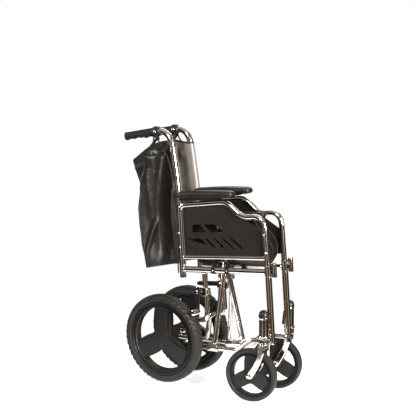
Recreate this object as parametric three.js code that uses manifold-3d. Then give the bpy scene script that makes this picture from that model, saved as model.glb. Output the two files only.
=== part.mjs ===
// Folded transport wheelchair: two welded side frames joined by a scissor brace,
// with four wheels, armrests, push handles, brakes and sling upholstery.
// Millimetres, +Z up, +X forward, the chair's right side at -Y.
import * as THREE from 'three';
import { mergeVertices } from 'three/addons/utils/BufferGeometryUtils.js';
import Module from 'manifold-3d';

const wasm = await Module();
wasm.setup();

// ---- driving dimensions --------------------------------------------------
// The origin is on the floor under the middle of the folded chair's box, which the
// two casters, each left standing at its own angle, push a little to one side.
const REAR_AXLE_X = -146.5;
const MIDDLE_Y = 5.4;
const GAP = 0.4; // clearance between touching pieces
const FRAME_Y = 55; // half distance between the side frames' tube planes
const BASE_Y = 42; // half distance between the base rails
const TUBE_SIDES = 8;

const CANE_R = 11;
const ARM_R = 9.5;
const POST_R = 11;
const UPPER_RAIL_R = 8;
const LOWER_RAIL_R = 10.5;
const BASE_RAIL_R = 9.5;
const LEG_R = 9.5;

const BASE_SLOPE = 0.0505; // the base rails rise towards the front
const BASE_Z0 = 135.9; // base rail height at the rear axle
const SLEEVE_R = 14;

const REAR_R = 161;
const REAR_Y = 81.5;
const REAR_WIDTH = 50;
const REAR_RIM_R = 133;
const REAR_RIM = { window: [44, 114, 42], width: 24, hubHalf: 20.5, hubR: 27 };
const AXLE_R = 6;
const AXLE_ENDS = [29, 106]; // distances from the chair's middle

const CASTER_R = 93;
const CASTER_X = 425;
const CASTER_Y = 85;
const CASTER_TRAIL = 46;
const CASTER_WIDTH = 32;
const CASTER_RIM_R = 76;
const CASTER_RIM = { window: [27, 67, 40], width: 18, hubHalf: 16.5, hubR: 17 };
const CASTER_AXLE_R = 5;
const CASTER_AXLE_END = 28;
const CASTER_YAW = { right: 8, left: 14 }; // degrees, how each caster was left standing
const STEM_R = 7.8;
const BORE_PLAY = 0.8; // how much wider than its pin a turning bore is

const CROSS_HEIGHT = 252.7; // scissor crossing above the base rails
const SEAT_RAIL_HEIGHT = 470;
const SEAT_RAIL_Y = 36.1;
const SEAT_RAIL_R = 9;
const SEAT_HALF = 170; // seat sling, from its rail to the middle
const SEAT_ANGLE = 10.2; // degrees from vertical, hanging folded
const BACK_HALF = 216; // back sling, from its cane to the rear fold
const BACK_ANGLE = 13; // degrees from straight back, folded
const SLING_THICK = 7;

const radians = THREE.MathUtils.degToRad;
const FOLD_TILT = Math.atan(BASE_SLOPE);

// ---- materials -----------------------------------------------------------
function finish(color, roughness, metalness) {
  return new THREE.MeshStandardMaterial({ color, roughness, metalness });
}
const CHROME = finish(0xd8d6d2, 0.12, 1);
const BLACK_PLASTIC = finish(0x1c1b1a, 0.45, 0);
const PANEL_PLASTIC = finish(0x2e2c29, 0.55, 0);
const WHEEL_PLASTIC = finish(0x34312f, 0.5, 0);
const TYRE_RUBBER = finish(0x3a3734, 0.85, 0);
const VINYL = finish(0x35322e, 0.4, 0);
const GRIP_RUBBER = finish(0x2a2827, 0.8, 0);

// ---- solids --------------------------------------------------------------
function signedVolume(positions, index) {
  let volume = 0;
  const [a, b, c] = [new THREE.Vector3(), new THREE.Vector3(), new THREE.Vector3()];
  for (let i = 0; i < index.length; i += 3) {
    a.fromArray(positions, index[i] * 3);
    b.fromArray(positions, index[i + 1] * 3);
    c.fromArray(positions, index[i + 2] * 3);
    volume += a.dot(b.cross(c)) / 6;
  }
  return volume;
}

function solid(geometry) {
  const bare = geometry.index ? geometry.toNonIndexed() : geometry.clone();
  bare.deleteAttribute('normal');
  bare.deleteAttribute('uv');
  const merged = mergeVertices(bare, 1e-3);
  const positions = Float32Array.from(merged.attributes.position.array);
  const kept = [];
  for (let i = 0; i < merged.index.count; i += 3) {
    const [a, b, c] = [0, 1, 2].map((k) => merged.index.getX(i + k));
    if (a !== b && b !== c && c !== a) kept.push(a, b, c);
  }
  if (signedVolume(positions, kept) < 0) {
    for (let i = 0; i < kept.length; i += 3) [kept[i], kept[i + 1]] = [kept[i + 1], kept[i]];
  }
  const triVerts = Uint32Array.from(kept);
  return new wasm.Manifold(new wasm.Mesh({ numProp: 3, vertProperties: positions, triVerts }));
}

function toGeometry(body) {
  const mesh = body.getMesh();
  const geometry = new THREE.BufferGeometry();
  geometry.setAttribute('position', new THREE.BufferAttribute(mesh.vertProperties, 3));
  geometry.setIndex(new THREE.BufferAttribute(mesh.triVerts, 1));
  geometry.computeVertexNormals();
  return geometry;
}

const chair = new THREE.Group();
chair.position.set(REAR_AXLE_X, MIDDLE_Y, 0);

function place(name, body, material, parent = chair) {
  const mesh = new THREE.Mesh(toGeometry(body), material);
  mesh.name = name;
  parent.add(mesh);
}

const vec = (x, y, z) => new THREE.Vector3(x, y, z);

function circle(radius, sides) {
  const points = [];
  for (let i = 0; i < sides; i += 1) {
    const angle = (2 * Math.PI * (i + 0.5)) / sides;
    points.push(new THREE.Vector2(radius * Math.cos(angle), radius * Math.sin(angle)));
  }
  return new THREE.Shape(points);
}

// A polyline whose inner corners are eased; each point is { at, ease }.
function bentPath(points) {
  const path = new THREE.CurvePath();
  let from = points[0].at;
  for (let i = 1; i < points.length - 1; i += 1) {
    const { at, ease } = points[i];
    const before = at.clone().add(from.clone().sub(at).setLength(ease));
    const after = at.clone().add(points[i + 1].at.clone().sub(at).setLength(ease));
    path.add(new THREE.LineCurve3(from, before));
    path.add(new THREE.QuadraticBezierCurve3(before, at, after));
    from = after;
  }
  path.add(new THREE.LineCurve3(from, points[points.length - 1].at));
  return path;
}

function tube(path, radius, steps, sides = TUBE_SIDES) {
  const options = { steps, bevelEnabled: false, extrudePath: path };
  return solid(new THREE.ExtrudeGeometry(circle(radius, sides), options));
}

function rod(from, to, radius, sides = TUBE_SIDES) {
  return tube(new THREE.LineCurve3(from, to), radius, 1, sides);
}

function block(x0, x1, y0, y1, z0, z1) {
  const box = new THREE.BoxGeometry(x1 - x0, y1 - y0, z1 - z0);
  box.translate((x0 + x1) / 2, (y0 + y1) / 2, (z0 + z1) / 2);
  return solid(box);
}

function lathe(profile, segments) {
  const points = profile.map(([r, h]) => new THREE.Vector2(r, h));
  return solid(new THREE.LatheGeometry(points, segments));
}

// Outlines run anticlockwise, so that an extrusion turns its holes the right way.
function outlineShape(outline) {
  const points = outline.map(([x, y]) => new THREE.Vector2(x, y));
  if (THREE.ShapeUtils.isClockWise(points)) points.reverse();
  return new THREE.Shape(points);
}

// A plate drawn in the XZ plane, from y0 to y1.
function plate(outline, holes, y0, y1) {
  const shape = outlineShape(outline);
  for (const hole of holes) {
    shape.holes.push(new THREE.Path(hole.map(([x, z]) => new THREE.Vector2(x, z))));
  }
  const geometry = new THREE.ExtrudeGeometry(shape, { depth: y1 - y0, bevelEnabled: false });
  geometry.rotateX(Math.PI / 2);
  geometry.translate(0, y1, 0);
  return solid(geometry);
}

// Points of the side plane, at a signed y.
const flatPath = (y, list) => list.map(([x, z, ease = 0]) => ({ at: vec(x, y, z), ease }));

// ---- side frame ----------------------------------------------------------
const CANE_FOOT = [70, 395];
const CANE = [CANE_FOOT, [54, 704, 60], [20, 915, 62], [-166, 883]];
const ARM = [[59, 588], [60, 647, 26], [258, 674, 24], [322, 627, 24], [407, 637, 46], [425, 431]];
const UPPER_RAIL = [[66.6, 461.4], [420, 495.5]];
const LOWER_RAIL = [[69, 418.4], [414, 447]];
const POST = [[425.2, 430], [439.8, 207]];
const baseZ = (x) => BASE_Z0 + BASE_SLOPE * x;
const BASE = [[-20, baseZ(-20)], [291, baseZ(291), 14], [350, 199, 22], [442, 203.5]];

const caneTube = (y, extra = 0) => tube(bentPath(flatPath(y, CANE)), CANE_R + extra, 18);
const armTube = (y, extra = 0) => tube(bentPath(flatPath(y, ARM)), ARM_R + extra, 28);
const railTube = (y, line, radius) => tube(bentPath(flatPath(y, line)), radius, 1);
const postTube = (y, extra = 0) => railTube(y, POST, POST_R + extra);

function legTube(s, extra = 0) {
  const y = s * FRAME_Y;
  const inner = s * (BASE_Y - 1);
  const points = [
    { at: vec(162.6, y, 427), ease: 0 },
    { at: vec(175, y, 247), ease: 28 },
    { at: vec(118, inner, 238), ease: 22 },
    { at: vec(106, inner, baseZ(106)), ease: 0 },
  ];
  return tube(bentPath(points), LEG_R + extra, 14);
}

function baseRail(s) {
  const y = s * BASE_Y;
  const rail = tube(bentPath(flatPath(y, BASE)), BASE_RAIL_R, 34);
  const boss = rod(vec(0, s * 36, REAR_R), vec(0, s * 52, REAR_R), 19, 16);
  const bore = rod(vec(0, s * 30, REAR_R), vec(0, s * 60, REAR_R), AXLE_R + 0.6);
  return rail.add(boss).subtract(bore).subtract(postTube(s * FRAME_Y, GAP));
}

function sideTubes(side, s) {
  const y = s * FRAME_Y;
  const fatCane = caneTube(y, GAP);
  const fatArm = armTube(y, GAP);
  const lower = railTube(y, LOWER_RAIL, LOWER_RAIL_R);
  const lowerFat = railTube(y, LOWER_RAIL, LOWER_RAIL_R + GAP);
  const baseFat = railTube(s * BASE_Y, [[60, baseZ(60)], [200, baseZ(200)]], BASE_RAIL_R + GAP);
  place(`${side}_back_cane`, caneTube(y), CHROME);
  place(`${side}_arm_tube`, armTube(y).subtract(fatCane), CHROME);
  const upper = railTube(y, UPPER_RAIL, UPPER_RAIL_R).subtract(fatCane).subtract(fatArm);
  place(`${side}_upper_rail`, upper, CHROME);
  place(`${side}_lower_rail`, lower.subtract(fatCane), CHROME);
  place(`${side}_front_post`, postTube(y), CHROME);
  place(`${side}_base_rail`, baseRail(s), CHROME);
  place(`${side}_rear_leg`, legTube(s).subtract(lowerFat).subtract(baseFat), CHROME);
}

// ---- skirt panel, armrest and footrest socket ------------------------------
const PANEL = [
  [66, 463], [59, 600], [62, 642], [84, 650], [258, 674],
  [292, 641], [414, 574], [419, 495],
];
const LOUVRES = [
  [[115, 584], [147, 587], [176, 560], [105, 554]],
  [[157, 588], [201, 592], [226, 586], [247, 569], [191, 560]],
  [[84, 533], [150, 537], [178, 516], [84, 526]],
  [[84, 509], [150, 497], [84, 493]],
  [[160, 540], [172, 541], [219, 510], [199, 508]],
  [[197, 545], [208, 546], [260, 511], [240, 509]],
  [[232, 548], [243, 549], [298, 514], [278, 511]],
  [[266, 552], [277, 553], [335, 517], [312, 514]],
];
const PAD_TOP = [[52, 680], [60, 697], [90, 704], [230, 719], [272, 719], [289, 706]];
const PAD_BOTTOM = [[286, 692], [268, 688], [70, 669]];
const PAD_HALF_WIDTH = 24;
const PAD_BASE = [[96, 663.5], [238, 683], [238, 686], [96, 673]];

const between = (s, a, b) => (s < 0 ? [-b, -a] : [a, b]);

function skirtPanel(s) {
  const [y0, y1] = between(s, FRAME_Y - 3, FRAME_Y);
  const y = s * FRAME_Y;
  return plate(PANEL, LOUVRES, y0, y1)
    .subtract(caneTube(y, 1))
    .subtract(armTube(y, 1))
    .subtract(railTube(y, UPPER_RAIL, UPPER_RAIL_R + 1));
}

function armPad(s) {
  const outline = PAD_TOP.concat(PAD_BOTTOM);
  const y = s * FRAME_Y;
  const pad = plate(outline, [], y - PAD_HALF_WIDTH, y + PAD_HALF_WIDTH);
  return pad.add(plate(PAD_BASE, [], y - 11, y + 11)).subtract(caneTube(y, 1));
}

function footrestSocket(s) {
  const y = s * FRAME_Y;
  const sleeve = rod(vec(446, y, 482), vec(449, y, 432), 8.5);
  const web = block(424, 446, y - 4, y + 4, 442, 474);
  return sleeve.add(web).subtract(armTube(y, GAP));
}

// ---- push handle and hand brake --------------------------------------------
const GRIP_START = vec(-55, 0, 902.1);
const GRIP_END = vec(-176, 0, 881.3);

function grip(s) {
  const y = s * FRAME_Y;
  const from = GRIP_START.clone().setY(y);
  const to = GRIP_END.clone().setY(y);
  return rod(from, to, 15.5, 16).subtract(caneTube(y, GAP));
}

function brakeClamp(s) {
  const y = s * FRAME_Y;
  const ring = rod(vec(-29, y, 906.6), vec(-52, y, 902.7), 17, 16);
  const [y0, y1] = between(s, FRAME_Y - 7, FRAME_Y - 1);
  const lug = block(-51, -35, y0, y1, 873, 894);
  const pin = rod(vec(-43, s * (FRAME_Y - 2), 880), vec(-43, s * (FRAME_Y + 8), 880), 2.5, 8);
  return ring.add(lug).add(pin).subtract(caneTube(y, GAP));
}

function stadium(from, to, radius) {
  const points = [];
  const angle = Math.atan2(to[1] - from[1], to[0] - from[0]);
  for (const [end, start] of [[from, angle + Math.PI / 2], [to, angle - Math.PI / 2]]) {
    for (let i = 0; i <= 6; i += 1) {
      const turn = start + (Math.PI * i) / 6;
      points.push([end[0] + radius * Math.cos(turn), end[1] + radius * Math.sin(turn)]);
    }
  }
  return points;
}

function handLever(s) {
  const [y0, y1] = between(s, FRAME_Y, FRAME_Y + 6);
  const bore = rod(vec(-43, s * 40, 880), vec(-43, s * 80, 880), 3.2, 10);
  return plate(stadium([-43, 880], [-66, 849], 5.5), [], y0, y1).subtract(bore);
}

// The brake cable leaves the clamp, loops forward and runs down behind the cane.
const CABLE_R = 2.4;
const CABLE = [
  [-31, 61, 883], [-22, 62, 868], [-2, 65, 845], [16, 66, 815],
  [28, 66, 780], [38, 66, 720], [44, 66, 640], [50, 66, 560], [54, 66, 480], [58, 66, 405],
];

function brakeCable(s) {
  const points = CABLE.map(([x, y, z]) => vec(x, s * y, z));
  return tube(new THREE.CatmullRomCurve3(points), CABLE_R, 22, 6);
}

function placeHandle(side, s) {
  place(`${side}_hand_grip`, grip(s), GRIP_RUBBER);
  place(`${side}_brake_clamp`, brakeClamp(s), BLACK_PLASTIC);
  place(`${side}_hand_lever`, handLever(s), BLACK_PLASTIC);
  place(`${side}_brake_cable`, brakeCable(s), BLACK_PLASTIC);
}

// ---- parking brake -----------------------------------------------------------
const PARK_PIVOT = [146, 349];
const SHOE = [142, 276];

function parkBracket(s) {
  const [y0, y1] = between(s, 43, 69);
  const [p0, p1] = between(s, 65, 69);
  const clamp = block(157, 182, y0, y1, 340, 360);
  const ear = block(134, 180, p0, p1, 336, 363);
  const [x, z] = PARK_PIVOT;
  const pin = rod(vec(x, s * 67, z), vec(x, s * 80, z), 4, 10);
  return clamp.add(ear).add(pin).subtract(legTube(s, GAP));
}

function parkLever(s) {
  const [y0, y1] = between(s, 70, 76);
  const [x, z] = PARK_PIVOT;
  const arm = plate(stadium(PARK_PIVOT, SHOE, 9), [], y0, y1);
  const shoe = rod(vec(SHOE[0], s * 66, SHOE[1]), vec(SHOE[0], s * 99, SHOE[1]), 10, 16);
  const handle = rod(vec(140, s * 79, 348), vec(37, s * 79, 337), 8.5, 10);
  const bore = rod(vec(x, s * 60, z), vec(x, s * 90, z), 4.8, 12);
  return arm.add(shoe).add(handle).subtract(bore);
}

// ---- wheels ------------------------------------------------------------------
function tyre(radius, inner, width, segments) {
  const half = width / 2;
  const profile = [
    [inner, -half * 0.62], [inner + (radius - inner) * 0.45, -half], [radius - 7, -half * 0.86],
    [radius, -half * 0.45], [radius, half * 0.45], [radius - 7, half * 0.86],
    [inner + (radius - inner) * 0.45, half], [inner, half * 0.62], [inner, -half * 0.62],
  ];
  return lathe(profile, segments);
}

const WINDOW_MIDDLES = [30, 150, 270];
const NOSE_SHARE = 0.72; // the window's width at the hub, as a share of its width at the rim
const RIM_SIDES = 28;

// One window between two spokes: an arc at the rim and a round nose at the hub.
function spokeWindow(middle, inner, outer, halfAngle) {
  const points = [];
  for (let i = 0; i <= 6; i += 1) {
    const angle = middle - halfAngle + (2 * halfAngle * i) / 6;
    points.push([outer * Math.cos(angle), outer * Math.sin(angle)]);
  }
  for (let i = 0; i <= 3; i += 1) {
    const angle = middle + halfAngle * NOSE_SHARE * (1 - (2 * i) / 3);
    points.push([inner * Math.cos(angle), inner * Math.sin(angle)]);
  }
  return points;
}

function spokedRim(radius, { window, width, hubHalf, hubR }, bore) {
  const half = width / 2;
  const rim = [];
  for (let i = 0; i < RIM_SIDES; i += 1) {
    const angle = (2 * Math.PI * i) / RIM_SIDES;
    rim.push([radius * Math.cos(angle), radius * Math.sin(angle)]);
  }
  const [inner, outer, halfAngle] = window;
  const holes = WINDOW_MIDDLES.map((middle) =>
    spokeWindow(radians(middle), inner, outer, radians(halfAngle)));
  return plate(rim, holes, -half, half)
    .add(rod(vec(0, -hubHalf, 0), vec(0, hubHalf, 0), hubR, 20))
    .subtract(rod(vec(0, -width, 0), vec(0, width, 0), bore, 16));
}

function placeRearWheel(side, s) {
  const wheel = new THREE.Group();
  wheel.position.set(0, s * REAR_Y, REAR_R);
  chair.add(wheel);
  const rubber = tyre(REAR_R, REAR_RIM_R + GAP, REAR_WIDTH, RIM_SIDES);
  const rim = spokedRim(REAR_RIM_R - 1, REAR_RIM, AXLE_R + BORE_PLAY);
  place(`${side}_rear_tyre`, rubber, TYRE_RUBBER, wheel);
  place(`${side}_rear_rim`, rim, WHEEL_PLASTIC, wheel);
  const [near, far] = AXLE_ENDS;
  const shank = rod(vec(0, s * near, REAR_R), vec(0, s * far, REAR_R), AXLE_R);
  const head = rod(vec(0, s * (far - 3), REAR_R), vec(0, s * (far + 3), REAR_R), 11, 16);
  const nut = rod(vec(0, s * (near - 1), REAR_R), vec(0, s * (near + 6.5), REAR_R), 10, 6);
  place(`${side}_rear_axle`, shank.add(head).add(nut), CHROME);
}

// ---- casters -----------------------------------------------------------------
const CAP_PROFILE = [[0, 300.4], [17.5, 300.4], [17.5, 309], [15, 317], [9, 322], [0, 323.5]];
const LEG_Y = 21;
const FORK_LEG = [
  [-11, 198], [9, 201], [6, 176], [-8, 141], [-37, 88],
  [-47, 84], [-55, 92], [-52, 103], [-30, 142], [-17, 173],
];

const uprightLathe = (profile) => lathe(profile, 16).rotate([90, 0, 0]);

function casterBarrel(s) {
  const y = s * CASTER_Y;
  const profile = [[0, 224], [19, 224], [19, 231], [16.5, 234], [16.5, 300], [0, 300]];
  const [y0, y1] = between(s, 60, 76);
  const web = block(CASTER_X - 8, CASTER_X + 10, y0, y1, 240, 288);
  const bore = rod(vec(CASTER_X, y, 200), vec(CASTER_X, y, 296), STEM_R + BORE_PLAY, 16);
  return uprightLathe(profile)
    .translate([CASTER_X, y, 0])
    .add(web)
    .subtract(bore)
    .subtract(postTube(s * FRAME_Y, GAP));
}

// The fork is drawn about its own stem axis; the wheel trails behind it.
function casterFork() {
  const stem = rod(vec(0, 0, 208), vec(0, 0, 292), STEM_R);
  const crown = rod(vec(0, 0, 203), vec(0, 0, 222), 17, 20);
  const bridge = block(-11, 9, -LEG_Y - 3, LEG_Y + 3, 191, 204);
  let fork = stem.add(crown).add(bridge);
  for (const y of [-LEG_Y, LEG_Y]) fork = fork.add(plate(FORK_LEG, [], y - 3, y + 3));
  const holeEnds = [-40, 40].map((y) => vec(-CASTER_TRAIL, y, CASTER_R));
  return fork.subtract(rod(...holeEnds, CASTER_AXLE_R + BORE_PLAY, 12));
}

function placeCaster(side, s) {
  const caster = new THREE.Group();
  caster.position.set(CASTER_X, s * CASTER_Y, 0);
  caster.rotation.z = radians(CASTER_YAW[side]);
  chair.add(caster);
  const cap = uprightLathe(CAP_PROFILE).translate([CASTER_X, s * CASTER_Y, 0]);
  place(`${side}_caster_barrel`, casterBarrel(s), CHROME);
  place(`${side}_caster_cap`, cap, BLACK_PLASTIC);
  place(`${side}_caster_fork`, casterFork(), CHROME, caster);

  const wheel = new THREE.Group();
  wheel.position.set(-CASTER_TRAIL, 0, CASTER_R);
  caster.add(wheel);
  const end = CASTER_AXLE_END;
  const head = [LEG_Y + 3 + GAP, end + 1];
  const axle = rod(vec(0, -end, 0), vec(0, end, 0), CASTER_AXLE_R, 12)
    .add(rod(vec(0, head[0], 0), vec(0, head[1], 0), 8, 12))
    .add(rod(vec(0, -head[1], 0), vec(0, -head[0], 0), 8, 6));
  place(`${side}_caster_axle`, axle, CHROME, wheel);
  const rubber = tyre(CASTER_R, CASTER_RIM_R + GAP, CASTER_WIDTH, 24);
  place(`${side}_caster_tyre`, rubber, TYRE_RUBBER, wheel);
  const rim = spokedRim(CASTER_RIM_R - 1, CASTER_RIM, CASTER_AXLE_R + BORE_PLAY);
  place(`${side}_caster_rim`, rim, WHEEL_PLASTIC, wheel);
}

// ---- scissor brace -------------------------------------------------------------
// Drawn in the fold's own frame: X along the base rails, which are at height 0.
const fold = new THREE.Group();
fold.position.z = BASE_Z0;
fold.rotation.y = -FOLD_TILT;
chair.add(fold);

const BRACE_R = 9.5;
const BRACE_A = { foot: 192, cross: 219, top: 243, side: -1, sleeve: [168, 214] };
const BRACE_B = { foot: 262, cross: 243, top: 226, side: 1, sleeve: [190, 270] };
const STRUT_FOOT = 202;
const STRUT_R = 7;
const STRUT_SHARE = 0.84; // how far up the brace's lower half the strut joins it
const SEAT_RAIL_ENDS = [114, 375];

function brace({ foot, cross, top, side, sleeve }) {
  const base = side * BASE_Y;
  const upper = -side * SEAT_RAIL_Y;
  const down = vec(foot, base, 0);
  const up = vec(top, upper, SEAT_RAIL_HEIGHT);
  const middle = vec(cross, 0, CROSS_HEIGHT);
  const [from, to] = sleeve;
  const ring = rod(vec(from, base, 0), vec(to, base, 0), SLEEVE_R, 16);
  const railBore = rod(vec(from - 9, base, 0), vec(to + 9, base, 0), BASE_RAIL_R + 0.7, 16);
  const bolt = rod(vec(cross - 30, 0, CROSS_HEIGHT), vec(cross + 30, 0, CROSS_HEIGHT), 5.6);
  const [a, b] = SEAT_RAIL_ENDS;
  const rail = rod(vec(a, upper, SEAT_RAIL_HEIGHT), vec(b, upper, SEAT_RAIL_HEIGHT), SEAT_RAIL_R);
  return rod(down, middle, BRACE_R)
    .add(rod(middle, up, BRACE_R))
    .add(ring)
    .add(rail)
    .subtract(railBore)
    .subtract(bolt);
}

// The second brace has a thinner strut beside it, down to the same long sleeve.
function strutBrace() {
  const foot = vec(BRACE_B.foot, BASE_Y, 0);
  const meet = foot.lerp(vec(BRACE_B.cross, 0, CROSS_HEIGHT), STRUT_SHARE);
  const railBore = rod(vec(150, BASE_Y, 0), vec(300, BASE_Y, 0), BASE_RAIL_R + 0.7, 16);
  const strut = rod(vec(STRUT_FOOT, BASE_Y, 0), meet, STRUT_R).subtract(railBore);
  return brace(BRACE_B).add(strut);
}

function crossBolt() {
  const z = CROSS_HEIGHT;
  const shank = rod(vec(204, 0, z), vec(262, 0, z), 5);
  const head = rod(vec(256.5, 0, z), vec(262, 0, z), 9, 6);
  const nut = rod(vec(199, 0, z), vec(205.5, 0, z), 9, 6);
  return shank.add(head).add(nut);
}

// ---- sling upholstery ------------------------------------------------------------
// Each half hangs from its own rail or cane as a thin sheet. The outline is drawn
// along the rail and away from it, then turned to its folded angle.
function sheet(outline) {
  const shape = outlineShape(outline);
  const options = { depth: SLING_THICK, bevelEnabled: false };
  const geometry = new THREE.ExtrudeGeometry(shape, options);
  geometry.translate(0, 0, -SLING_THICK / 2);
  return solid(geometry);
}

const SEAT_START = 14;
const SEAT_REAR = [[116, SEAT_START], [202, SEAT_START], [202, SEAT_HALF], [116, SEAT_HALF]];
const SEAT_FRONT = [[260, SEAT_START], [373, SEAT_START], [412, SEAT_HALF], [260, SEAT_HALF]];

function placeSeat(side, s) {
  const hang = s * (90 - SEAT_ANGLE);
  const pieces = { seat_rear: SEAT_REAR, seat_front: SEAT_FRONT };
  for (const [part, outline] of Object.entries(pieces)) {
    // the outline's far edge points to the chair's middle, then drops down
    const body = sheet(outline.map(([a, d]) => [a, -s * d]))
      .rotate([hang, 0, 0])
      .translate([0, s * SEAT_RAIL_Y, SEAT_RAIL_HEIGHT]);
    place(`${side}_${part}`, body, VINYL, fold);
  }
}

const CANE_LEAN = Math.atan2(40, 463);
const BACK_START = 17;
const BACK_HEIGHTS = { caneTop: 465, rearTop: 385, rearBottom: -3, caneBottom: 52 };

function placeBack(side, s) {
  const { caneTop, rearTop, rearBottom, caneBottom } = BACK_HEIGHTS;
  const [x, z] = CANE_FOOT;
  const far = BACK_HALF;
  const outline = [
    [caneBottom, BACK_START], [caneTop, BACK_START], [rearTop, far], [rearBottom, far],
  ];
  // drawn with X up the cane and Y away from it, then stood up and turned rearwards
  const body = sheet(outline)
    .rotate([0, -90, 0])
    .rotate([0, 0, s < 0 ? 90 - BACK_ANGLE : 90 + BACK_ANGLE])
    .rotate([0, THREE.MathUtils.radToDeg(-CANE_LEAN), 0])
    .translate([x, s * FRAME_Y, z]);
  place(`${side}_back_sling`, body, VINYL);
}

// ---- assembly ----------------------------------------------------------------------
for (const [side, s] of [['right', -1], ['left', 1]]) {
  sideTubes(side, s);
  place(`${side}_skirt_panel`, skirtPanel(s), PANEL_PLASTIC);
  place(`${side}_arm_pad`, armPad(s), VINYL);
  place(`${side}_footrest_socket`, footrestSocket(s), BLACK_PLASTIC);
  placeHandle(side, s);
  place(`${side}_park_bracket`, parkBracket(s), CHROME);
  place(`${side}_park_lever`, parkLever(s), BLACK_PLASTIC);
  placeRearWheel(side, s);
  placeCaster(side, s);
  placeSeat(side, s);
  placeBack(side, s);
}
place('cross_brace_a', brace(BRACE_A), CHROME, fold);
place('cross_brace_b', strutBrace(), CHROME, fold);
place('cross_bolt', crossBolt(), CHROME, fold);

export default chair;
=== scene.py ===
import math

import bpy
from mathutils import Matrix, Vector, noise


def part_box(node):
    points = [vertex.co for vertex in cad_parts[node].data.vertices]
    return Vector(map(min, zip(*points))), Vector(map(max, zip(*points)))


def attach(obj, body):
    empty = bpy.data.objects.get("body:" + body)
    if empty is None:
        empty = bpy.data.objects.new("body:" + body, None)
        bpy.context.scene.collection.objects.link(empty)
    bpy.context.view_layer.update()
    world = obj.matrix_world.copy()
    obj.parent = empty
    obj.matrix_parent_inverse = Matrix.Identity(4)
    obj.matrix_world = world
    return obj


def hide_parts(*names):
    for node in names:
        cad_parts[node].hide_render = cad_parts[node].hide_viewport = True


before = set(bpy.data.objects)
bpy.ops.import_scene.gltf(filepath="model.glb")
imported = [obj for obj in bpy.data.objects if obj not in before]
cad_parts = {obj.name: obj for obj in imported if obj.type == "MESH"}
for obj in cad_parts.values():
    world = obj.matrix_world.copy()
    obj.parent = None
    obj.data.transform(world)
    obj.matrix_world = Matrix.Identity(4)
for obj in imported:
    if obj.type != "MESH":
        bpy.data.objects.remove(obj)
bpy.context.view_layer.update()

# The finished surfaces of a folded transport wheelchair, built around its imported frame.
# Lengths are millimetres in the chair's own frame: X forward from the rear axle, Y to the
# sitter's left from the middle plane, Z up from the floor. Angles are degrees. Throughout,
# s is -1 on the right side and 1 on the left.

SIDES = (("right", -1), ("left", 1))
MM = 0.001


def node_middle(node):
    low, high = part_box(node)
    return (low + high) / 2


# The chair frame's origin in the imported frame, from where the rear tyres are.
AXLE = (node_middle("right_rear_tyre") + node_middle("left_rear_tyre")) / 2
ORIGIN = Vector((AXLE.x, AXLE.y, 0.0))
TO_ROW = Matrix.Translation(ORIGIN) @ Matrix.Scale(MM, 4)

# ---- driving dimensions ----------------------------------------------------
FRAME_Y = 55
BASE_Y = 42
CANE_R = 11
ARM_R = 9.5
POST_R = 11
UPPER_RAIL_R = 8
LOWER_RAIL_R = 10.5
BASE_RAIL_R = 9.5
LEG_R = 9.5
BASE_SLOPE = 0.0505
BASE_Z0 = 135.9
REAR_R = 161
REAR_RIM_R = 133
REAR_WIDTH = 50
REAR_Y = 81.5
CASTER_R = 93
CASTER_RIM_R = 76
CASTER_WIDTH = 32
CASTER_X = 425
CASTER_Y = 85
CASTER_TRAIL = 46
CASTER_YAW = {"right": 8, "left": 14}
SEAT_RAIL_Y = 36.1
SEAT_RAIL_R = 9
SEAT_RAIL_HEIGHT = 470
CROSS_HEIGHT = 252.7

CANE = ((70, 395), (54, 704, 60), (20, 915, 62), (-166, 883))
ARM = ((59, 588), (60, 647, 26), (258, 674, 24), (322, 627, 24), (407, 637, 46), (425, 431))
UPPER_RAIL = ((66.6, 461.4), (420, 495.5))
LOWER_RAIL = ((69, 418.4), (414, 447))
POST = ((425.2, 430), (439.8, 207))
RAIL_FOOT = 418.4
# x, z, and how far the tube's outer face stands from its middle.
PANEL_SCREWS = ((419, 514, 9), (410, 574, 9), (60, 549, 10.6), (64, 499, 10.6))


def base_z(x):
    return BASE_Z0 + BASE_SLOPE * x


BASE = ((-20, base_z(-20)), (291, base_z(291), 14), (350, 199, 22), (442, 203.5))


# ---- materials -------------------------------------------------------------
def add_node(tree, kind, **values):
    node = tree.nodes.new(kind)
    for key, value in values.items():
        node.inputs[key].default_value = value
    return node


def varied(tree, coordinate, scale, detail, low, high, low_at=0.3, high_at=0.7):
    """A noise that runs between two colours or greys."""
    cloud = add_node(tree, "ShaderNodeTexNoise", Scale=scale, Detail=detail)
    ramp = tree.nodes.new("ShaderNodeValToRGB")
    ramp.color_ramp.elements[0].position = low_at
    ramp.color_ramp.elements[0].color = low
    ramp.color_ramp.elements[1].position = high_at
    ramp.color_ramp.elements[1].color = high
    tree.links.new(coordinate, cloud.inputs["Vector"])
    tree.links.new(cloud.outputs["Fac"], ramp.inputs["Fac"])
    return ramp.outputs["Color"]


def grey(value):
    return (value, value, value, 1)


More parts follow.
